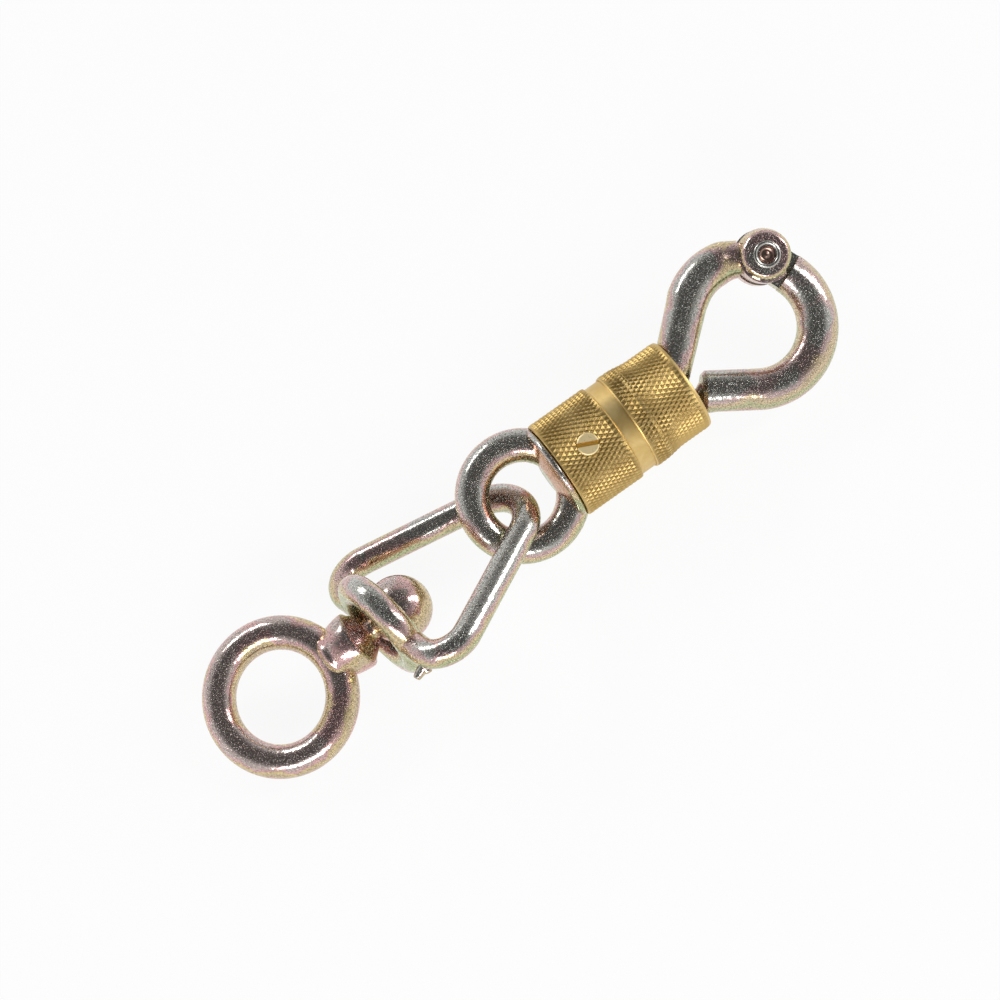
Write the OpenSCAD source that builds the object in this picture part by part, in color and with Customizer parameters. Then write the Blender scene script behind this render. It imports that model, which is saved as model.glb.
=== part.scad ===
// Swivel snap hook with a hinged jaw and a two-part brass collar, lying on a table.
// Millimetres, +Z up, +X along the shank toward the hook.

/* [Hook body] */
// Diameter of the round stock of the shank and fixed arm
rod_d = 9.2; // [8.6:0.1:9.4]
// Radius of the shank's bend at the sleeve mouth, to the rod's centre
arm_bend_r = 15.5; // [14:0.1:17]
// Angle of the fixed arm to the shank
arm_turn = 41.3; // [39:0.1:42]
// Straight length of the fixed arm
arm_straight = 17.4; // [16:0.1:19]
// Radius of the arm's crown, to the rod's centre
crown_r = 14; // [12:0.1:16]
// Turn of the crown down to the pivot
crown_turn = 69.8; // [67:0.1:71]
// Mean radius of the body's eye
body_eye_r = 12.3; // [12:0.1:12.8]
// Diameter of the wire of the body's eye
body_eye_wire = 8.3; // [7.6:0.1:8.6]

/* [Fork and jaw] */
// Radius of the round cheeks of the fork
cheek_r = 6.8; // [6.2:0.1:7.2]
// Thickness across both cheeks
fork_w = 14.4; // [13:0.1:15]
// Thickness of the jaw's knuckle between the cheeks
knuckle_w = 4.7; // [4:0.1:5.2]
// Diameter of the jaw's round stock
jaw_d = 10.2; // [9.6:0.1:10.4]
// Radius of the jaw's curve, to the rod's centre
jaw_r = 15.2; // [14.8:0.1:15.5]
// Turn of the jaw's curve
jaw_turn = 145.8; // [144:0.2:147]
// Straight length of the jaw down to the sleeve
jaw_straight = 14; // [13:0.1:14.4]
// Diameter of the pivot rivet
rivet_d = 4; // [3.4:0.1:4.6]

/* [Collar] */
// Outer diameter of the fixed collar
collar_d = 26; // [25.6:0.1:26.6]
// Length of the collar and sleeve together
collar_len = 37; // [36.4:0.1:37.6]
// Length of the fixed collar's knurled part
fixed_len = 16.4; // [15.6:0.1:17]
// Width of the smooth band between collar and sleeve, which is the sleeve's travel
band_w = 3.9; // [3.2:0.1:4.2]
// Diameter of the smooth neck
neck_d = 24.7; // [24.5:0.05:24.8]
// Diameter of the sleeve at its mouth
mouth_d = 24.6; // [24.2:0.1:25.2]
// Diameter of the sleeve's mouth bore
mouth_bore = 22.2; // [21.8:0.1:22.4]
// Diameter of the collar screw's head
screw_head_d = 5.5; // [5:0.1:6]

/* [Swivel] */
// Mean radius of the swivel eye's ring
eye_r = 15.5; // [15:0.1:16]
// Diameter of the swivel eye's wire
eye_wire = 8.3; // [7.8:0.1:8.6]
// Diameter of the ball head
ball_d = 16.2; // [15.8:0.1:16.3]
// Diameter of the bow's wire
bow_wire = 7; // [6.8:0.1:7.2]
// Mean radius of the round base of the bow
bow_base_r = 11; // [10.9:0.05:11.3]
// Half width of the bow between its wires' crossing points
bow_half = 27.6; // [27:0.1:28.2]
// Length of the bow from its base to the legs' crossing point
bow_len = 58; // [57.4:0.1:58.4]

/* [Hidden] */
$fn = 64;
fit = 0.06;
lap = 0.3;
step = 0.02;

// placement: the sleeve, the jaw side of the body, the bow's low corner and the eye rest on z = 0
shift = [49.56, 4.06, 0];
body_roll = 24.66;
body_at = [0, 0, collar_d / 2];
bow_at = [-92.64, -7.37, 15.88];
bow_turn = [-29.35, 5.53, 9.69];
eye_at = [-122.83, -4.54, 8.26];
eye_turn = [9.73, -11.94, -2.94];

// the rod's centre line, in the body's own frame with the sleeve mouth at its origin
function left_end(p, h, r, t) = p + r * [sin(h + t) - sin(h), cos(h) - cos(h + t)];
function right_end(p, h, r, t) = p + r * [sin(h) - sin(h - t), cos(h - t) - cos(h)];
function ahead(p, h, d) = p + d * [cos(h), sin(h)];
rod_r = rod_d / 2;
bend_at = [-11.2, 0];
arm_a = left_end(bend_at, 0, arm_bend_r, arm_turn);
arm_b = ahead(arm_a, arm_turn, arm_straight);
arm_c = right_end(arm_b, arm_turn, crown_r, crown_turn);
crown_out = arm_turn - crown_turn;
neck_in = 6.4;
pivot = ahead(arm_c, crown_out, neck_in);

jaw_rod_r = jaw_d / 2;
jaw_heading = -67;
jaw_start = 7.8;
shoulder_at = 7.4;
jaw_a = ahead(pivot, jaw_heading, jaw_start);
jaw_b = right_end(jaw_a, jaw_heading, jaw_r, jaw_turn);
jaw_out = jaw_heading - jaw_turn;
jaw_c = ahead(jaw_b, jaw_out, jaw_straight);
jaw_chamfer = 0.9;
tongue_r = 2.6;
tongue_y = -6.4;
tongue_deep = 3;
tongue_root = 3.4;
tongue_root_r = 4.3;

slot_w = knuckle_w + 0.3;
slot_r = cheek_r + 0.6;
knuckle_r = cheek_r - 0.3;
cheek_round = 1.1;
rivet_head_r = 3.4;
rivet_head_h = 0.6;
rivet_dish_r = 2.4;
rivet_dish = 1.3;

collar_r = collar_d / 2;
neck_r = neck_d / 2;
eye_c = -collar_len - 10.5;
eye_trim = 11.75;
cup_r = 11.95;
cup_len = 6.1;
seat_r = 7.6;
web_at = -collar_len + cup_len;
web_top = -24.5;
neck_top = -collar_len + fixed_len + band_w + 0.8;
neck_bore = 8.6;
edge = 0.4;
sleeve_low = -collar_len + fixed_len + band_w;
flange_at = neck_top + band_w + 0.2;
flange_top = flange_at + 1.6;
flange_bore = rod_r + 0.65;
sleeve_low_r = collar_r - 0.05;
taper_a = -14;
taper_b = -8.1;
rim_at = -1.6;
rim_r = 11.6;

screw_x = -28.7;
screw_turn = 8.6;
screw_slot_turn = -25;
screw_head_r = screw_head_d / 2;
screw_head_h = 1.6;
screw_proud = 0.25;
screw_r = 1.7;
screw_tip = rod_r - 0.6;
slot_cut = 1.1;
slot_deep = 0.8;

spring_wire_r = 0.55;
spring_r = 7.2;
spring_turns = 5;

eye_wire_r = eye_wire / 2;
ball_r = ball_d / 2;
ball_x = 36;
bead_x = 23.9;
bead_r = 7.4;
stem_r = 2.9;

bow_r = bow_wire / 2;
corner_r = 7;
apex_r = 10.3;
half_angle = atan2(bow_half, bow_len);
base_angle = 90 - half_angle;
corner_cut = corner_r / tan(base_angle / 2);
apex_c = bow_len - apex_r / sin(half_angle);
apex_cut = apex_r / tan(half_angle);
leg_len = norm([bow_half, bow_len]) - corner_cut - apex_cut;

steel = [0.74, 0.72, 0.62];
brass = [0.80, 0.65, 0.32];

module on_body() translate(shift) translate(body_at) rotate([body_roll, 0, 0]) children();
module on_bow() translate(shift) translate(bow_at) rotate(bow_turn) children();
module on_eye() translate(shift) translate(eye_at) rotate(eye_turn) children();

module bend(rod, r, t) {
  translate([0, r, 0]) rotate([0, 0, -90]) rotate_extrude(angle = t) translate([r, 0]) circle(rod);
}

module run(p, h) translate([p[0], p[1], 0]) rotate([0, 0, h]) children();

module bar(rod, d) rotate([0, 90, 0]) cylinder(h = d, r = rod);

// a straight length between bends, a hair thinner and run a little into each of them
module join(rod, d) translate([-lap, 0, 0]) bar(rod - step, d + 2 * lap);

module lathe() rotate([90, 0, 90]) rotate_extrude() children();

module torus(r, rod) rotate_extrude() translate([r, 0]) circle(rod);

module eye_ring() {
  difference() {
    translate([eye_c, 0, 0]) torus(body_eye_r, body_eye_wire / 2);
    translate([-collar_len - 0.15, 0, 0]) lathe() translate([eye_trim, 0]) square([8, 9]);
  }
}

module arm() {
  translate([web_at - 2.2, 0, 0]) bar(rod_r - step, bend_at[0] - web_at + 2.2 + lap);
  run(bend_at, 0) bend(rod_r, arm_bend_r, arm_turn);
  run(arm_a, arm_turn) join(rod_r, arm_straight);
  run(arm_b, arm_turn) mirror([0, 1, 0]) bend(rod_r, crown_r, crown_turn);
  run(arm_c, crown_out) join(rod_r, neck_in);
}

module cheeks() {
  run(pivot, 0) rotate_extrude() difference() {
    translate([0, -fork_w / 2]) square([cheek_r, fork_w]);
    for (s = [-1, 1]) translate([cheek_r - cheek_round, s * (fork_w / 2 - cheek_round)]) difference() {
      translate([0, s > 0 ? 0 : -2]) square([2, 2]);
      circle(cheek_round);
    }
  }
}

module hook_body() color(steel) on_body() difference() {
  union() {
    eye_ring();
    translate([web_at - 3.4, 0, 0]) bar(seat_r, 3.4 - 0.05);
    arm();
    cheeks();
  }
  run(pivot, 0) cylinder(h = slot_w, r = slot_r, center = true);
  run(pivot, 0) cylinder(h = fork_w + 2, r = rivet_d / 2, center = true);
  screw_at() translate([0, 0, screw_tip - 0.15]) cylinder(h = 2, r = screw_r + 0.05);
}

module hinged_jaw() color(steel) on_body() difference() {
  union() {
    run(pivot, 0) cylinder(h = knuckle_w, r = knuckle_r, center = true);
    run(pivot, jaw_heading) translate([0, -4.6, -knuckle_w / 2]) cube([shoulder_at + 1.5, 9.2, knuckle_w]);
    run(ahead(pivot, jaw_heading, shoulder_at), jaw_heading) bar(jaw_rod_r - step, jaw_start - shoulder_at + lap);
    run(jaw_a, jaw_heading) mirror([0, 1, 0]) bend(jaw_rod_r, jaw_r, jaw_turn);
    run(jaw_b, jaw_out) lathe() polygon([[0, -lap], [jaw_rod_r - step, -lap], [jaw_rod_r - step, jaw_straight - jaw_chamfer],
      [jaw_rod_r - jaw_chamfer, jaw_straight], [0, jaw_straight]]);
    translate([0, tongue_y, 0]) lathe() polygon([[0, -tongue_deep], [tongue_r - 0.5, -tongue_deep], [tongue_r, 0.5 - tongue_deep],
      [tongue_r, 0], [tongue_root_r, tongue_root], [0, tongue_root]]);
  }
  run(pivot, 0) cylinder(h = knuckle_w + 2, r = rivet_d / 2 + fit, center = true);
}

module pivot_rivet() color(steel) on_body() run(pivot, 0) difference() {
  union() {
    cylinder(h = fork_w, r = rivet_d / 2, center = true);
    for (s = [0, 1]) mirror([0, 0, s]) translate([0, 0, fork_w / 2]) cylinder(h = rivet_head_h, r1 = rivet_head_r, r2 = rivet_head_r - 0.35);
  }
  for (s = [0, 1]) mirror([0, 0, s]) translate([0, 0, fork_w / 2 + rivet_head_h - rivet_dish])
    cylinder(h = rivet_dish + 0.01, r1 = rivet_dish_r * 0.55, r2 = rivet_dish_r);
}

module screw_at() rotate([-screw_turn, 0, 0]) translate([screw_x, 0, 0]) children();

module fixed_collar() color(brass) on_body() difference() {
  lathe() polygon([
    [cup_r, -collar_len], [collar_r - edge, -collar_len], [collar_r, -collar_len + edge],
    [collar_r, -collar_len + fixed_len - edge], [collar_r - edge, -collar_len + fixed_len],
    [neck_r, -collar_len + fixed_len], [neck_r, neck_top - 0.2], [neck_r - 0.2, neck_top],
    [neck_bore, neck_top], [neck_bore, web_top], [rod_r + 0.03, web_top],
    [rod_r + 0.03, web_at], [cup_r, web_at]]);
  screw_at() {
    cylinder(h = collar_r + 1, r = screw_r + 0.05);
    translate([0, 0, collar_r - screw_head_h + screw_proud]) cylinder(h = 4, r = screw_head_r + 0.08);
  }
}

module locking_sleeve() color(brass) on_body() lathe() polygon([
  [neck_r + fit, sleeve_low], [sleeve_low_r - edge / 2, sleeve_low], [sleeve_low_r, sleeve_low + edge],
  [sleeve_low_r, taper_a], [mouth_d / 2, taper_b], [mouth_d / 2, rim_at], [rim_r, 0],
  [mouth_bore / 2, 0], [mouth_bore / 2, flange_top], [flange_bore, flange_top],
  [flange_bore, flange_at], [neck_r + fit, flange_at]]);

module collar_screw() color(brass) on_body() screw_at() difference() {
  union() {
    translate([0, 0, collar_r - screw_head_h + screw_proud]) cylinder(h = screw_head_h - 0.3, r = screw_head_r);
    translate([0, 0, collar_r + screw_proud - 0.3]) cylinder(h = 0.3, r1 = screw_head_r, r2 = screw_head_r - 0.3);
    translate([0, 0, screw_tip]) cylinder(h = collar_r - screw_tip - 1, r = screw_r);
  }
  translate([0, 0, collar_r + screw_proud]) rotate([0, 0, screw_slot_turn]) cube([8, slot_cut, 2 * slot_deep], center = true);
}

// closed compression spring: wire rings of 8 corners, with a flat coil at each end
spring_steps = 20;
spring_x0 = web_top + spring_wire_r + 0.02;
spring_x1 = flange_at - spring_wire_r - 0.02;
spring_count = spring_steps * spring_turns;
flat_step = 2 * spring_wire_r * 1.15;
function spring_x(i) = let (u = i / spring_steps, n = spring_turns)
  u < 1 ? spring_x0 + flat_step * u * u / 2 :
  u > n - 1 ? spring_x1 - flat_step * (n - u) * (n - u) / 2 :
  spring_x0 + flat_step / 2 + (spring_x1 - spring_x0 - flat_step) * (u - 1) / (n - 2);
spring_pts = [for (i = [0 : spring_count]) for (k = [0 : 7])
  let (a = 360 * i / spring_steps, q = 45 * k, r = spring_r + spring_wire_r * cos(q))
  [spring_x(i) + spring_wire_r * sin(q), r * cos(a), r * sin(a)]];
spring_faces = concat(
  [[for (k = [0 : 7]) k]],
  [for (i = [0 : spring_count - 1]) for (k = [0 : 7])
    [8 * i + k, 8 * (i + 1) + k, 8 * (i + 1) + (k + 1) % 8, 8 * i + (k + 1) % 8]],
  [[for (k = [7 : -1 : 0]) 8 * spring_count + k]]);

module sleeve_spring() color(steel) on_body() polyhedron(points = spring_pts, faces = spring_faces);

module bow_side() {
  translate([0, bow_base_r - 1, 0]) rotate([-90, 0, 0]) cylinder(h = bow_half - corner_cut - bow_base_r + 1 + lap, r = bow_r - step);
  translate([corner_r, bow_half - corner_cut, 0]) rotate([0, 0, base_angle])
    rotate_extrude(angle = 180 - base_angle) translate([corner_r, 0]) circle(bow_r);
  translate([0, bow_half, 0]) rotate([0, 0, -half_angle]) translate([corner_cut, 0, 0]) join(bow_r, leg_len);
}

module swivel_bow() color(steel) on_bow() union() {
  rotate([0, 90, 0]) torus(bow_base_r, bow_r + 0.05);
  bow_side();
  mirror([0, 1, 0]) bow_side();
  translate([apex_c, 0, 0]) rotate([0, 0, -base_angle]) rotate_extrude(angle = 2 * base_angle) translate([apex_r, 0]) circle(bow_r);
}

module swivel_eye() color(steel) on_eye() union() {
  torus(eye_r, eye_wire_r);
  lathe() polygon([
    [0, eye_r], [5.6, eye_r], [5.6, eye_r + 3], [6.4, eye_r + 4.6], [bead_r - 0.2, bead_x - 1.2],
    [bead_r, bead_x - 0.4], [bead_r - 0.4, bead_x], [5, bead_x + 0.5], [stem_r, bead_x + 3.4], [stem_r, ball_x], [0, ball_x]]);
  translate([ball_x, 0, 0]) sphere(ball_r);
}

hook_body();
fixed_collar();
collar_screw();
pivot_rivet();
hinged_jaw();
locking_sleeve();
sleeve_spring();
swivel_bow();
swivel_eye();
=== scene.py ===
import math

import bmesh
import bpy
from mathutils import Matrix, Vector


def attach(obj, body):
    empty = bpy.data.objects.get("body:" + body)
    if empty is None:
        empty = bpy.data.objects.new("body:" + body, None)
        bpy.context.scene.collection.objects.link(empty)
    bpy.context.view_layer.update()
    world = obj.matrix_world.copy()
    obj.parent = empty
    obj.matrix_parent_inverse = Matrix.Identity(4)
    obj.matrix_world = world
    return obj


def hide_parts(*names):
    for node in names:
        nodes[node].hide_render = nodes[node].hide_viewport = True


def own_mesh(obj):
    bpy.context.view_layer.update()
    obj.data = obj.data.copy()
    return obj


# the body lies rolled about the shank, with the sleeve mouth at this place (metres)
layout = {"mouth": (0.04956, 0.00406, 0.013), "roll": 24.66}

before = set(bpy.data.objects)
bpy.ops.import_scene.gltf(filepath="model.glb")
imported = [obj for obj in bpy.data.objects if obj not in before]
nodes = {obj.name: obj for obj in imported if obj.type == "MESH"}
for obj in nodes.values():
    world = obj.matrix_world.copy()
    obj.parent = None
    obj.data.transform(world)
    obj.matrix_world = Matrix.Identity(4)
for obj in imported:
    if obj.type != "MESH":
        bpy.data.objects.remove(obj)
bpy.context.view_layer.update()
print("frame loaded,", len(nodes), "nodes")


# shader helpers
class Wire:
    # one shader socket that takes arithmetic with numbers and other wires
    def __init__(self, sheet, socket):
        self.sheet = sheet
        self.socket = socket

    def calc(self, operation, *others):
        values = dict(enumerate((self,) + others))
        return self.sheet.make("ShaderNodeMath", {"operation": operation}, values)

    def __add__(self, other):
        return self.calc("ADD", other)

    def __mul__(self, other):
        return self.calc("MULTIPLY", other)

    def __sub__(self, other):
        return self.calc("SUBTRACT", other)

    def __rsub__(self, other):
        return self.sheet.make("ShaderNodeMath", {"operation": "SUBTRACT"}, {0: other, 1: self})

    __radd__ = __add__
    __rmul__ = __mul__

    def largest(self, other):
        return self.calc("MAXIMUM", other)

    def span(self, low, high):
        # 0 below low, 1 above high, smooth between
        values = {"Value": self, "From Min": low, "From Max": high}
        return self.sheet.make("ShaderNodeMapRange", {"interpolation_type": "SMOOTHSTEP"}, values)


class Sheet:
    # the nodes of one material or world
    def __init__(self, owner):
        self.owner = owner
        owner.use_nodes = True
        self.tree = owner.node_tree
        self.tree.nodes.clear()

    def make(self, kind, settings=None, values=None, out=0):
        node = self.tree.nodes.new(kind)
        for key, value in (settings or {}).items():
            setattr(node, key, value)
        for key, value in (values or {}).items():
            if isinstance(value, Wire):
                self.tree.links.new(value.socket, node.inputs[key])
            else:
                node.inputs[key].default_value = value
        return Wire(self, node.outputs[out]) if len(node.outputs) else node

    def place(self):
        return self.make("ShaderNodeTexCoord", out="Object")

    def axis(self, name):
        return self.make("ShaderNodeSeparateXYZ", None, {0: self.place()}, out=name)

    def noise(self, size, detail=3.0, rough=0.55, twist=0.0):
        values = {"Vector": self.place(), "Scale": 1.0 / size, "Detail": detail, "Roughness": rough,
                  "Distortion": twist}
        return self.make("ShaderNodeTexNoise", None, values)

    def blend(self, factor, first, second):
        return self.make("ShaderNodeMix", {"data_type": "RGBA"}, {0: factor, 6: first, 7: second}, out=2)

    def bump(self, height, strength, depth):
        values = {"Strength": strength, "Distance": depth, "Height": height}
        return self.make("ShaderNodeBump", None, values)

    def surface(self, shader):
        self.make("ShaderNodeOutputMaterial", None, {"Surface": shader})
        return self.owner

    def metal(self, colour, roughness, bump=None):
        values = {"Base Color": colour, "Metallic": 1.0, "Roughness": roughness}
        if bump is not None:
            values["Normal"] = bump
        return self.surface(self.make("ShaderNodeBsdfPrincipled", None, values))


def newSheet(name):
    return Sheet(bpy.data.materials.new(name))


def rgb(r, g, b):
    return (r, g, b, 1.0)


def fromShank(s):
    y = s.axis("Y") - layout["mouth"][1]
    z = s.axis("Z") - layout["mouth"][2]
    return y, z


def heightAlong(s, turn):
    # distance from the shank's axis, measured along one direction across it
    out = Vector((0, 0, 1))
    out.rotate(Matrix.Rotation(math.radians(layout["roll"] - turn), 3, "X"))
    y, z = fromShank(s)
    return y * out.y + z * out.z


# finishes
platedSteel = {
    "silver": rgb(0.55, 0.54, 0.50),
    "rose": rgb(0.74, 0.42, 0.42),
    "straw": rgb(0.68, 0.56, 0.30),
    "olive": rgb(0.46, 0.52, 0.30),
    # the colour of the darkened pits, also used as painted shade on upward faces
    "pitDarkAndTopShade": rgb(0.10, 0.10, 0.085),
    # the bands of the film: where one starts and is full, how strong it is, its colour
    "bands": [(0.16, 0.30, 0.60, "rose"), (0.36, 0.52, 0.80, "straw"),
              (0.62, 0.80, 0.80, "olive"), (0.98, 1.20, 0.65, "rose")],
    "tintSize": 0.022,
    "drift": 1.5,  # how far the bands wander
    "swirl": 0.5,  # how far they wander on a finer scale
    "swirlSize": 0.35,  # as a share of tintSize
    "pitSize": 0.00042,
    "pitDepth": 0.00018,
    "pits": (0.54, 0.62),  # the part of the noise that is pitted
    "relief": 0.9,
    "broad": 0.5,  # height of the broad unevenness beside the pits
    "broadSize": 4,  # as a multiple of pitSize
    "pitDark": 0.30,
    "topPaintedShade": 0.50,  # painted shade: pits darker still where the surface faces up
    "tops": (0.75, 0.95),
    "roughness": 0.13,
    "pitRough": 0.12,
    "swirlRough": 0.06,
}


def makePlatedSteel(name, look, tint=1.0, seed=0.0):
    s = newSheet(name)
    drift = s.noise(look["tintSize"], detail=2.0, rough=0.5, twist=0.6 + seed)
    swirl = s.noise(look["tintSize"] * look["swirlSize"], detail=3.0, rough=0.55, twist=1.4 + seed)
    normal = s.make("ShaderNodeNewGeometry", out="Normal")
    facing = s.make("ShaderNodeSeparateXYZ", None, {0: normal}, out="Z")
    # the film runs in long bands, from silver tops through rose and straw to olive sides
    film = (1 - facing) + (drift - 0.5) * look["drift"] + (swirl - 0.5) * look["swirl"]
    colour = look["silver"]
    for start, full, strength, band in look["bands"]:
        colour = s.blend(film.span(start, full) * (strength * tint), colour, look[band])
    broad = s.noise(look["pitSize"] * look["broadSize"], detail=2.0, rough=0.5, twist=0.3)
    pits = s.noise(look["pitSize"], detail=1.0, rough=0.5).span(*look["pits"])
    # pits are darkened everywhere; the extra darkening where the surface faces up is painted shade
    pitDarkAndTopShade = look["pitDark"] + facing.span(*look["tops"]) * look["topPaintedShade"]
    colour = s.blend(pits * pitDarkAndTopShade, colour, look["pitDarkAndTopShade"])
    bump = s.bump(broad * look["broad"] - pits, look["relief"], look["pitDepth"])
    rough = pits * look["pitRough"] + swirl * look["swirlRough"] + look["roughness"]
    return s.metal(colour, rough, bump)


rosySteel = dict(platedSteel, silver=rgb(0.60, 0.50, 0.47), olive=rgb(0.62, 0.50, 0.34))
copperySteel = dict(platedSteel, silver=rgb(0.60, 0.22, 0.09), rose=rgb(0.56, 0.24, 0.13),
                    straw=rgb(0.58, 0.33, 0.14), olive=rgb(0.60, 0.34, 0.20))

satinBrass = {"bright": rgb(0.64, 0.45, 0.17), "deep": rgb(0.17, 0.10, 0.025), "pale": rgb(0.80, 0.61, 0.28)}

knurledLook = {
    "valley": 0.01262,  # radius at the foot of the knurl
    "crest": 0.01300,
    "lowest": 0.25,  # painted shade: brightness of a valley, from deep to bright
    "narrow": (-0.0141, -0.0081),  # the sleeve narrows between these places, measured from its mouth
    "narrowLift": 0.8,  # least brightness of the narrow end, whose crests lie lower
    "stainSize": 0.006,
    "stain": (0.45, 0.75),
    "stainShare": 0.35,
    "grainSize": 0.0006,
    "grain": 0.35,
    "grainDepth": 0.00006,
    "roughness": 0.35,
    "stainRough": 0.14,
}


def makeKnurledBrass(look):
    s = newSheet("knurledBrass")
    y, z = fromShank(s)
    # painted shade: the knurl's valleys are painted darker than its crests, by distance from the shank's
    # axis
    lift = (y * y + z * z).calc("SQRT").span(look["valley"], look["crest"])
    start, full = (layout["mouth"][0] + along for along in look["narrow"])
    lift = lift.largest(s.axis("X").span(start, full) * look["narrowLift"])
    stain = s.noise(look["stainSize"], detail=4.0, rough=0.6, twist=0.4)
    paintedValleyShade = lift * (1 - look["lowest"]) + look["lowest"]
    colour = s.blend(paintedValleyShade, satinBrass["deep"], satinBrass["bright"])
    colour = s.blend(stain.span(*look["stain"]) * look["stainShare"], colour, satinBrass["pale"])
    grain = s.noise(look["grainSize"], detail=3.0, rough=0.6)
    bump = s.bump(grain, look["grain"], look["grainDepth"])
    return s.metal(colour, stain * look["stainRough"] + look["roughness"], bump)


turnedLook = {
    "stainSize": 0.008,
    "stain": (0.40, 0.70),
    "ringScale": 900.0,  # fine lathe rings run round the shank
    "wander": 1.2,
    "rings": 0.2,
    "ringDepth": 0.00003,
    "roughness": 0.42,
    "stainRough": 0.10,
}


def makeTurnedBrass(look):
    s = newSheet("turnedBrass")
    values = {"Vector": s.place(), "Scale": look["ringScale"], "Distortion": look["wander"], "Detail": 2.0}
    rings = s.make("ShaderNodeTexWave", {"wave_type": "BANDS", "bands_direction": "X"}, values)
    stain = s.noise(look["stainSize"], detail=4.0, rough=0.6, twist=0.4)
    colour = s.blend(stain.span(*look["stain"]), satinBrass["bright"], satinBrass["pale"])
    bump = s.bump(rings, look["rings"], look["ringDepth"])
    return s.metal(colour, stain * look["stainRough"] + look["roughness"], bump)


# the collar's screw: turn in degrees round the shank, places and sizes of its hole in mm
screwLook = {
    "turn": 8.6,
    "x": -28.7,
    "headRadius": 2.83,
    "headHeight": 1.6,
    "proud": 0.25,
    "shaftRadius": 1.75,
    "shaftFoot": 4.0,
    "overlap": 0.3,  # the shaft's hole runs this far into the head's
    "drillTop": 16.0,  # the head's hole is cut from here down
    "floor": rgb(0.70, 0.44, 0.10),
    "face": rgb(0.95, 0.79, 0.46),
    "slot": (0.01255, 0.01300),  # heights between which the floor's colour turns to the face's, in metres; the pale face is a painted highlight, the darker floor painted shade
    "scratchSize": 0.0009,
    "scratched": (0.55, 0.75),
    "scratchShare": 0.4,
    "relief": 0.4,
    "depth": 0.00005,
    "roughness": 0.46,
    "scratchRough": 0.2,
}


def makeScrewBrass(look):
    s = newSheet("screwBrass")
    # painted highlight on the head's top face, painted shade in its slot and lower parts
    top = heightAlong(s, look["turn"]).span(*look["slot"])
    scratch = s.noise(look["scratchSize"], detail=4.0, rough=0.6, twist=0.5)
    colour = s.blend(top, look["floor"], look["face"])
    colour = s.blend(scratch.span(*look["scratched"]) * look["scratchShare"], colour, satinBrass["deep"])
    bump = s.bump(scratch, look["relief"], look["depth"])
    return s.metal(colour, scratch * look["scratchRough"] + look["roughness"], bump)


# bright rims, and the dishes darker brown
rivetLook = {
    "dishBrown": rgb(0.40, 0.27, 0.22),
    "dish": (0.0063, 0.0075),  # heights between which the dish's colour turns to the rim's, in metres
    "grainSize": 0.0006,
    "grain": 0.5,
    "grainDepth": 0.0001,
    "roughness": 0.14,
    "grainRough": 0.2,
}


def makeRivetSteel(look):
    s = newSheet("rivetSteel")
    height = heightAlong(s, 0).calc("ABSOLUTE")
    grain = s.noise(look["grainSize"], detail=3.0, rough=0.6)
    colour = s.blend(height.span(*look["dish"]), look["dishBrown"], platedSteel["silver"])
    bump = s.bump(grain, look["grain"], look["grainDepth"])
    return s.metal(colour, grain * look["grainRough"] + look["roughness"], bump)


springLook = {"dark": rgb(0.34, 0.35, 0.37), "light": rgb(0.52, 0.53, 0.55), "drawnSize": 0.0012,
              "roughness": 0.2, "drawnRough": 0.2}


def makeSpringSteel(look):
    s = newSheet("springSteel")
    drawn = s.noise(look["drawnSize"], detail=3.0, rough=0.5)
    colour = s.blend(drawn, look["dark"], look["light"])
    return s.metal(colour, drawn * look["drawnRough"] + look["roughness"])


steel = makePlatedSteel("platedSteel", platedSteel)
steelRosy = makePlatedSteel("platedSteelRosy", rosySteel, tint=1.1, seed=0.7)
steelCoppery = makePlatedSteel("platedSteelCoppery", copperySteel, tint=0.6, seed=0.2)
steelClean = makePlatedSteel("platedSteelClean", platedSteel, tint=0.8, seed=0.3)
knurledBrass = makeKnurledBrass(knurledLook)
turnedBrass = makeTurnedBrass(turnedLook)
screwBrass = makeScrewBrass(screwLook)
springSteel = makeSpringSteel(springLook)
rivetSteel = makeRivetSteel(rivetLook)
print("finishes made")


# helpers for pieces; their sizes are in mm along the shank, measured from the sleeve's mouth
def toBody(extra=Matrix.Identity(4)):
    lay = Matrix.Translation(layout["mouth"]) @ Matrix.Rotation(math.radians(layout["roll"]), 4, "X")
    return lay @ extra @ Matrix.Scale(0.001, 4)


def ease(value, low, high):
    t = min(max((value - low) / (high - low), 0.0), 1.0)
    return t * t * (3 - 2 * t)


def weld(bm, gap):
    bmesh.ops.remove_doubles(bm, verts=bm.verts, dist=gap)
    bmesh.ops.recalc_face_normals(bm, faces=bm.faces)


def readNode(node):
    bm = bmesh.new()
    bm.from_mesh(nodes[node].data)
    weld(bm, 1e-6)
    return bm


def pour(source, bm):
    # adds the pieces of one bmesh to another
    mesh = bpy.data.meshes.new("poured")
    source.to_mesh(mesh)
    source.free()
    bm.from_mesh(mesh)
    bpy.data.meshes.remove(mesh)


def lathe(bm, outline, steps, placing):
    # spins an open outline of (x, radius) about the X axis, then places it
    turned = bmesh.new()
    ring = [turned.verts.new((x, 0, r)) for x, r in outline]
    edges = [turned.edges.new(pair) for pair in zip(ring, ring[1:])]
    bmesh.ops.spin(turned, geom=ring + edges, cent=(0, 0, 0), axis=(1, 0, 0), angle=2 * math.pi,
                   steps=steps, use_merge=True)
    turned.transform(placing)
    pour(turned, bm)


def smoothFaces(bm):
    for face in bm.faces:
        face.smooth = True
        face.material_index = 0


def offAxis(vert):
    return math.hypot(vert.co.y, vert.co.z)


def markSharp(bm, degrees):
    for edge in bm.edges:
        if len(edge.link_faces) == 2 and edge.calc_face_angle(0.0) > math.radians(degrees):
            edge.smooth = False


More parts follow.
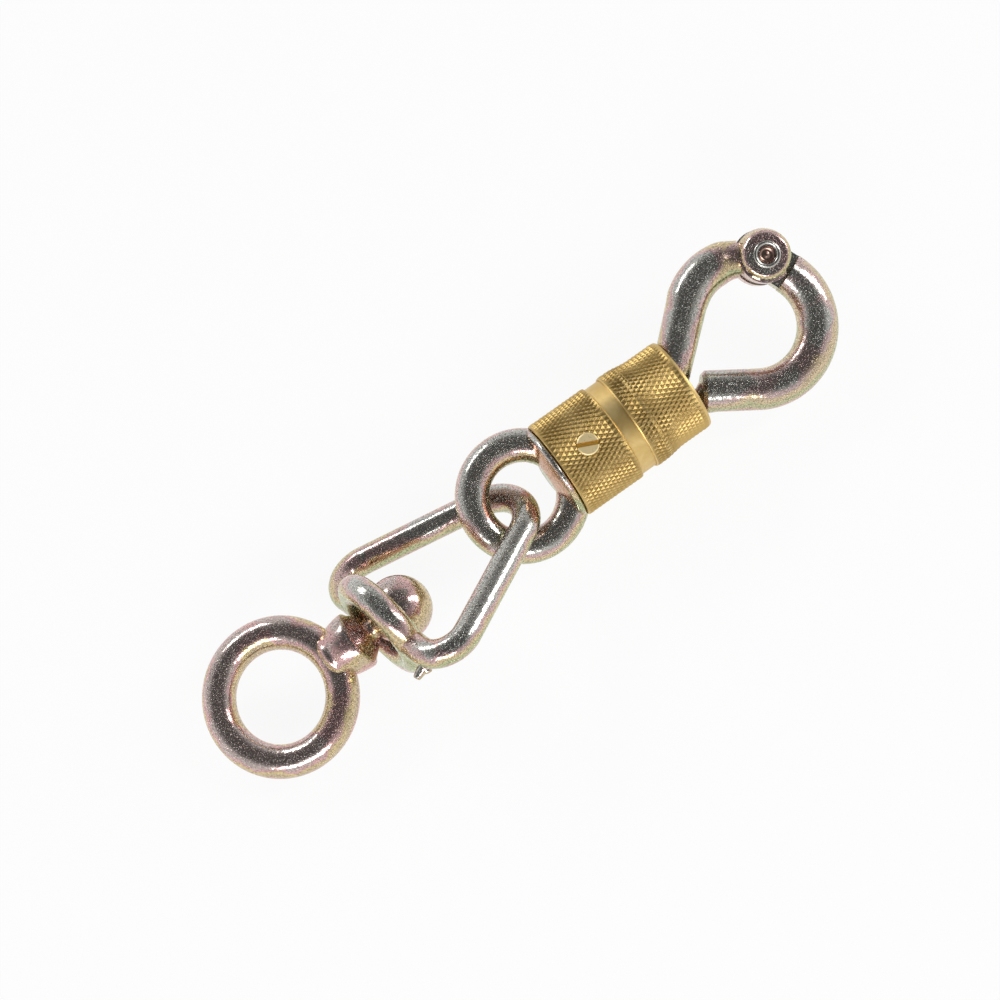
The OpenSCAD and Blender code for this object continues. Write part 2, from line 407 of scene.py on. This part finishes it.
def newObject(name, mesh):
    made = bpy.data.objects.new(name, mesh)
    bpy.context.scene.collection.objects.link(made)
    return made


def newMeshObject(name, bm):
    mesh = bpy.data.meshes.new(name)
    bm.to_mesh(mesh)
    bm.free()
    return newObject(name, mesh)


def finishPiece(bm, name, body, finishes, replaced):
    piece = newMeshObject(name, bm)
    for finish in finishes:
        piece.data.materials.append(finish)
    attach(piece, body)
    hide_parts(replaced)
    return piece


# the fixed arm swells away from the sleeve's mouth and from the pivot
armSwell = {"grow": 0.6, "start": (-0.5, 2.5), "stop": (7.6, 12.0)}
pivot = {"at": (33.683, 14.100), "cheekHalf": 7.2}
# the fork's cheeks are eased near their rim, more towards their outer faces
cheek = {
    "radius": 6.8,
    "rim": (5.2, 6.82),  # distances from the pivot that are eased
    "inner": 2.7,  # heights from the middle: the inner face, and where the easing grows
    "shoulder": 5.6,
    "eased": 6.25,
    "more": 0.5,
}
# the flange behind the body's eye, as (place on the shank, radius)
flange = {
    "outline": [(-40.2, 0.0), (-40.2, 3.6), (-38.9, 11.4), (-38.7, 12.0), (-38.3, 12.4), (-37.8, 12.5),
                (-37.4, 12.3), (-37.15, 11.9), (-37.1, 11.3), (-37.1, 0.0)],
    "steps": 128,
    "copperyFrom": (-40.5, -38.8),
    "copperyRadii": (3.0, 11.6),
    "copperyFacing": -0.9,
}


def easeHook(bm):
    bm.normal_update()
    lay = toBody()
    back = lay.inverted()
    moves = []
    for vert in bm.verts:
        at = back @ vert.co
        away = math.hypot(at.x - pivot["at"][0], at.y - pivot["at"][1])
        if at.x > armSwell["start"][0]:
            grow = armSwell["grow"] * ease(at.x, *armSwell["start"]) * ease(away, *armSwell["stop"])
            moves.append((vert, vert.normal * grow * 0.001))
        if cheek["rim"][0] < away < cheek["rim"][1] and abs(at.z) > cheek["inner"]:
            soft = cheek["eased"] - cheek["more"] * ease(abs(at.z), cheek["shoulder"], pivot["cheekHalf"])
            centre = Vector((pivot["at"][0], pivot["at"][1], at.z))
            moves.append((vert, lay @ (centre + (at - centre) * (soft / cheek["radius"])) - vert.co))
    for vert, move in moves:
        vert.co += move


def hookChanges(bm):
    easeHook(bm)
    lathe(bm, flange["outline"], flange["steps"], toBody())


def paintFlange(bm):
    # the cone that faces the body's eye takes the second finish
    back = toBody().inverted()
    start, stop = flange["copperyFrom"]
    least, most = flange["copperyRadii"]
    for face in bm.faces:
        spots = [back @ v.co for v in face.verts]
        inside = all(start < q.x < stop and least < math.hypot(q.y, q.z) < most for q in spots)
        facing = (back.to_3x3() @ face.normal).normalized().x
        if inside and facing < flange["copperyFacing"]:
            face.material_index = 1


# the bell between the swivel eye's ring and its stem, as (distance from the ring's centre, radius);
# the ring's centre is in metres
bell = {
    "outline": [(14.6, 0.0), (14.6, 5.0), (15.2, 5.7), (15.8, 6.05), (16.3, 6.1), (16.8, 6.05), (17.6, 6.35),
                (18.8, 6.8), (20.2, 7.15), (21.8, 7.4), (22.8, 7.5), (23.4, 7.42), (23.8, 7.2), (24.3, 6.5),
                (25.4, 5.5), (26.4, 4.7), (26.4, 0.0)],
    "steps": 96,
    "at": (-0.07327, -0.00048, 0.00826),
    "turn": (9.73, -11.94, -2.94),
}


def eyeBell(bm):
    x, y, z = (math.radians(t) for t in bell["turn"])
    turn = Matrix.Rotation(z, 4, "Z") @ Matrix.Rotation(y, 4, "Y") @ Matrix.Rotation(x, 4, "X")
    lathe(bm, bell["outline"], bell["steps"], Matrix.Translation(bell["at"]) @ turn @ Matrix.Scale(0.001, 4))


# a small burr of flash where the link's round base meets its side bar, in metres
burr = {
    "root": (-0.04120, -0.02030, 0.02270),
    "tips": [(-0.04470, -0.02150, 0.02190), (-0.04140, -0.02230, 0.02210)],
    "radius": 0.0009,
    "rootSwell": 1.7,
    "segments": 14,
    "cuts": 4,
    "sideShare": 0.8,  # an edge this long, as a share of the burr, is one of its sides
    "bevelFrom": 1.0,  # angle between two faces, in radians
    "rounding": 0.45,
    "ragged": 0.00012,
    "waves": (5200, 4300, 3900),
}


def addBurr(bm):
    for index, tip in enumerate(burr["tips"]):
        root, end = Vector(burr["root"]), Vector(tip)
        along = end - root
        turn = along.to_track_quat("Z", "Y").to_matrix().to_4x4()
        spike = bmesh.new()
        bmesh.ops.create_cone(spike, cap_ends=True, segments=burr["segments"],
                              radius1=burr["radius"] * burr["rootSwell"], radius2=burr["radius"],
                              depth=along.length, matrix=Matrix.Translation((root + end) / 2) @ turn)
        sides = [e for e in spike.edges if e.calc_length() > along.length * burr["sideShare"]]
        bmesh.ops.subdivide_edges(spike, edges=sides, cuts=burr["cuts"])
        sharp = [e for e in spike.edges if e.calc_face_angle(0.0) > burr["bevelFrom"]]
        bmesh.ops.bevel(spike, geom=sharp, offset=burr["radius"] * burr["rounding"], segments=3, profile=0.5,
                        affect="EDGES", material=-1)
        for vert in spike.verts:
            x, y, z = (place * wave for place, wave in zip(vert.co, burr["waves"]))
            wave = math.sin(x + index) * math.cos(y) * math.sin(z + 1)
            vert.co += vert.co.normalized() * burr["ragged"] * wave
        pour(spike, bm)


forgings = {
    # piece: node, body, finish, what is added
    "hookForging": ("hook_body", "body", steel, hookChanges),
    "jawForging": ("hinged_jaw", "jaw", steelClean, None),
    "linkForging": ("swivel_bow", "bow", steel, addBurr),
    "eyeForging": ("swivel_eye", "eye", steelRosy, eyeBell),
}
sharpFrom = {"forging": 40, "brass": 30}  # degrees between two faces


def smoothForging(name, node, body, finish, change):
    bm = readNode(node)
    if change:
        change(bm)
        weld(bm, 1e-7)
    smoothFaces(bm)
    finishes = [finish]
    if name == "hookForging":
        paintFlange(bm)
        finishes.append(steelCoppery)
    markSharp(bm, sharpFrom["forging"])
    finishPiece(bm, name, body, finishes, node)


for name, (node, body, finish, change) in forgings.items():
    smoothForging(name, node, body, finish, change)
print("forgings smoothed")

# the pivot rivet: rolled rims round a deep dish at both ends, as (height, radius)
rivet = {
    "end": [(6.35, 0.0), (6.3, 0.5), (6.05, 0.9), (6.1, 1.45), (6.7, 2.05), (7.45, 2.35), (7.72, 2.6),
            (7.8, 2.9), (7.7, 3.2), (7.45, 3.38), (7.2, 3.4), (7.2, 2.0)],
    "steps": 72,
}
rivetOutline = rivet["end"] + [(-h, r) for h, r in reversed(rivet["end"])]
stand = Matrix.Translation((*pivot["at"], 0)) @ Matrix.Rotation(math.radians(-90), 4, "Y")
bm = bmesh.new()
lathe(bm, rivetOutline, rivet["steps"], toBody() @ stand)
weld(bm, 1e-7)
smoothFaces(bm)
finishPiece(bm, "dishedRivet", "body", [rivetSteel], "pivot_rivet")

# closed outlines as (x, radius); the knurl runs between the two places called knurled
knurl = {
    "half": 1.12,  # distance between two rows
    "around": 126,
    "depth": 0.30,
    "endDepth": 0.12,  # of the first and the last row
    "flat": 0.15,  # how much of a crest is taken off
    "plainEnd": 0.3,  # crests this near an end keep their point
    "skin": 12.0,  # what lies within this radius isn't knurled
    "lowest": 11.8,  # no knurled face comes down to this radius
    "slack": 0.01,
}
collarCut = {
    "outline": [(-37, 11.95), (-37, 12.55), (-36.75, 12.85), (-20.95, 12.85), (-20.6, 12.45), (-20.6, 12.35),
                (-16.1, 12.35), (-15.9, 12.15), (-15.9, 8.6), (-24.5, 8.6), (-24.5, 4.66), (-30.9, 4.66),
                (-30.9, 11.95)],
    "knurled": (-36.75, -20.95),
    "radius": 13.0,
    "narrowed": 13.0,  # the collar is straight
    "narrowing": (-36.75, -20.95),
    "sunk": 0,
}
sleeveCut = {
    "outline": [(-16.7, 12.41), (-16.7, 12.7), (-16.4, 12.9), (-0.8, 12.2), (-0.35, 12.1), (-0.1, 11.9),
                (0, 11.6), (0, 11.1), (-10.2, 11.1), (-10.2, 5.25), (-11.8, 5.25), (-11.8, 12.41)],
    "knurled": (-16.4, -0.8),
    "radius": 12.95,
    "narrowed": 12.3,
    "narrowing": (-14.0, -8.1),
    "sunk": 1,  # which half of the pattern is sunk
}


def turnKnurled(cut):
    low, high = cut["knurled"]
    rows = max(2, round((high - low) / knurl["half"]))
    rowStep = (high - low) / rows

    def skinRadius(x):
        return cut["radius"] + (cut["narrowed"] - cut["radius"]) * ease(x, *cut["narrowing"])

    bm = bmesh.new()
    points = []
    for index, (x, r) in enumerate(cut["outline"]):
        points.append((x, r))
        if x == low and cut["outline"][index + 1][0] == high:
            rowPlaces = [low + rowStep * k for k in range(1, rows)]
            points += [(place, skinRadius(place)) for place in rowPlaces]
    ring = [bm.verts.new((x, 0, r)) for x, r in points]
    edges = [bm.edges.new(pair) for pair in zip(ring, ring[1:] + ring[:1])]
    bmesh.ops.spin(bm, geom=ring + edges, cent=(0, 0, 0), axis=(1, 0, 0), angle=2 * math.pi,
                   steps=knurl["around"], use_merge=True)
    bmesh.ops.remove_doubles(bm, verts=bm.verts, dist=1e-4)
    turn = 2 * math.pi / knurl["around"]
    start, stop = low - knurl["slack"], high + knurl["slack"]
    sunk = set()
    for vert in bm.verts:
        x, r = vert.co.x, offAxis(vert)
        if r < knurl["skin"] or x < start or x > stop:
            continue
        row = round((x - low) / rowStep)
        column = round(math.atan2(vert.co.y, vert.co.z) / turn) % knurl["around"]
        want = skinRadius(x)
        if (row + column) % 2 == cut["sunk"]:
            sunk.add(vert)
        if row in (0, rows):
            want -= knurl["endDepth"]
        elif vert in sunk:
            want -= knurl["depth"]
        vert.co.y *= want / r
        vert.co.z *= want / r
    for face in list(bm.faces):
        deep = [v for v in face.verts if v in sunk]
        inside = all(start < v.co.x < stop and offAxis(v) > knurl["lowest"] for v in face.verts)
        if inside and len(face.verts) == 4 and len(deep) == 2:
            bmesh.utils.face_split(face, deep[0], deep[1])
    pointed = [v for v in bm.verts if v not in sunk and offAxis(v) > knurl["skin"]]
    crests = [v for v in pointed if low + knurl["plainEnd"] < v.co.x < high - knurl["plainEnd"]]
    bmesh.ops.bevel(bm, geom=crests, offset=knurl["flat"], segments=1, profile=0.5, affect="VERTICES",
                    material=-1)
    bmesh.ops.recalc_face_normals(bm, faces=bm.faces)
    for face in bm.faces:
        xs = [v.co.x for v in face.verts]
        rs = [offAxis(v) for v in face.verts]
        knurled = min(xs) > start and max(xs) < stop and min(rs) > knurl["lowest"]
        face.material_index = 0 if knurled else 1
        face.smooth = not knurled
    markSharp(bm, sharpFrom["brass"])
    return bm


def carve(piece, radius, low, high):
    # drills a round hole for the screw, between two heights above the shank's axis
    bm = bmesh.new()
    bmesh.ops.create_cone(bm, cap_ends=True, segments=48, radius1=radius, radius2=radius, depth=high - low,
                          matrix=Matrix.Translation((screwLook["x"], 0, (low + high) / 2)))
    bm.transform(toBody(Matrix.Rotation(math.radians(-screwLook["turn"]), 4, "X")))
    drill = newMeshObject("drill", bm)
    hole = piece.modifiers.new("drill", "BOOLEAN")
    hole.operation = "DIFFERENCE"
    hole.solver = "EXACT"
    hole.object = drill
    bpy.context.view_layer.update()
    carved = bpy.data.meshes.new_from_object(piece.evaluated_get(bpy.context.evaluated_depsgraph_get()))
    piece.modifiers.clear()
    piece.data = carved
    bpy.data.objects.remove(drill)


bm = turnKnurled(collarCut)
bm.transform(toBody())
knurledCollar = finishPiece(bm, "knurledCollar", "body", [knurledBrass, turnedBrass], "fixed_collar")
seat = collarCut["radius"] + screwLook["proud"] - screwLook["headHeight"]
carve(knurledCollar, screwLook["headRadius"], seat, screwLook["drillTop"])
carve(knurledCollar, screwLook["shaftRadius"], screwLook["shaftFoot"], seat + screwLook["overlap"])

bm = turnKnurled(sleeveCut)
bm.transform(toBody())
finishPiece(bm, "knurledSleeve", "sleeve", [knurledBrass, turnedBrass], "locking_sleeve")
print("knurled brass turned")

nodes["collar_screw"].data.materials.clear()
nodes["collar_screw"].data.materials.append(screwBrass)

# the spring stands on the collar's web; here it keeps one shape and does not close up as the sleeve is drawn
# back
bm = readNode("sleeve_spring")
smoothFaces(bm)
coil = finishPiece(bm, "closingSpring", "body", [springSteel], "sleeve_spring")
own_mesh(coil)
print("screw and spring finished")


# stage, lights, camera
stageLook = {"half": 3.0, "shadow": 0.08, "plain": rgb(0.86, 0.86, 0.86)}
bm = bmesh.new()
bmesh.ops.create_grid(bm, x_segments=1, y_segments=1, size=stageLook["half"])
floor = newMeshObject("floor", bm)
s = newSheet("whiteFloor")
seen = s.make("ShaderNodeLightPath", out="Is Camera Ray")
glossy = s.make("ShaderNodeLightPath", out="Is Glossy Ray")
through = s.make("ShaderNodeLightPath", out="Is Transmission Ray")
plain = s.make("ShaderNodeBsdfDiffuse", None, {"Color": stageLook["plain"]})
white = s.make("ShaderNodeEmission", None, {"Color": rgb(1, 1, 1), "Strength": 1.0})
share = seen.largest(glossy).largest(through) * (1 - stageLook["shadow"])
floor.data.materials.append(s.surface(s.make("ShaderNodeMixShader", None, {0: share, 1: plain, 2: white})))

skyLook = {"zenith": 0.12, "horizon": 0.97, "fade": (0.25, 0.85)}
world = bpy.data.worlds.new("studio")
bpy.context.scene.world = world
sky = Sheet(world)
direction = sky.make("ShaderNodeTexCoord", out="Generated")
skyward = sky.make("ShaderNodeSeparateXYZ", None, {0: direction}, out="Z")
glow = sky.make("ShaderNodeMapRange", {"interpolation_type": "SMOOTHSTEP"}, {
    "Value": skyward, "From Min": skyLook["fade"][0], "From Max": skyLook["fade"][1],
    "To Min": skyLook["horizon"], "To Max": skyLook["zenith"]})
back = sky.make("ShaderNodeBackground", None, {"Strength": glow})
sky.make("ShaderNodeOutputWorld", None, {"Surface": back})

lamps = {
    "key": {"at": (-0.25, 0.92, 0.58), "size": (0.60, 0.18), "power": 3.4},
    "fill": {"at": (0.85, -0.20, 0.50), "size": (0.20, 0.60), "power": 3.8},
    "front": {"at": (-0.52, -0.72, 0.46), "size": (0.80, 0.20), "power": 5.5},
}
lampsAimAt = Vector((0, 0, 0.01))
for name, look in lamps.items():
    data = bpy.data.lights.new(name, "AREA")
    data.shape = "RECTANGLE"
    data.size, data.size_y = look["size"]
    data.energy = look["power"]
    lamp = newObject(name, data)
    lamp.location = look["at"]
    lamp.rotation_euler = (lampsAimAt - Vector(look["at"])).to_track_quat("-Z", "Y").to_euler()

# the camera looks down on the table and is rolled, so that the shank climbs to the right
view = {"azimuth": -12.07, "height": 68.21, "roll": 23.95, "lens": 115.645, "away": 0.79028,
        "aside": (-0.046134, -0.023826), "from": (0.04956, 0.00406, 0.0)}
azimuth, height, roll = (math.radians(view[k]) for k in ("azimuth", "height", "roll"))
level = Vector((math.cos(azimuth), math.sin(azimuth), 0))
toViewer = Vector((math.sin(azimuth), -math.cos(azimuth), 0))
backward = toViewer * math.cos(height) + Vector((0, 0, math.sin(height)))
upward = backward.cross(level)
right = math.cos(roll) * level - math.sin(roll) * upward
up = math.sin(roll) * level + math.cos(roll) * upward
place = Vector(view["from"]) + right * view["aside"][0] + up * view["aside"][1] + backward * view["away"]
cameraData = bpy.data.cameras.new("camera")
cameraData.sensor_fit = "HORIZONTAL"
cameraData.sensor_width = 36.0
cameraData.lens = view["lens"]
cameraData.clip_end = 20.0
camera = newObject("camera", cameraData)
camera.matrix_world = Matrix.Translation(place) @ Matrix((right, up, backward)).transposed().to_4x4()
bpy.context.scene.camera = camera
bpy.context.scene.view_settings.view_transform = "Standard"
print("stage, lamps and camera set")
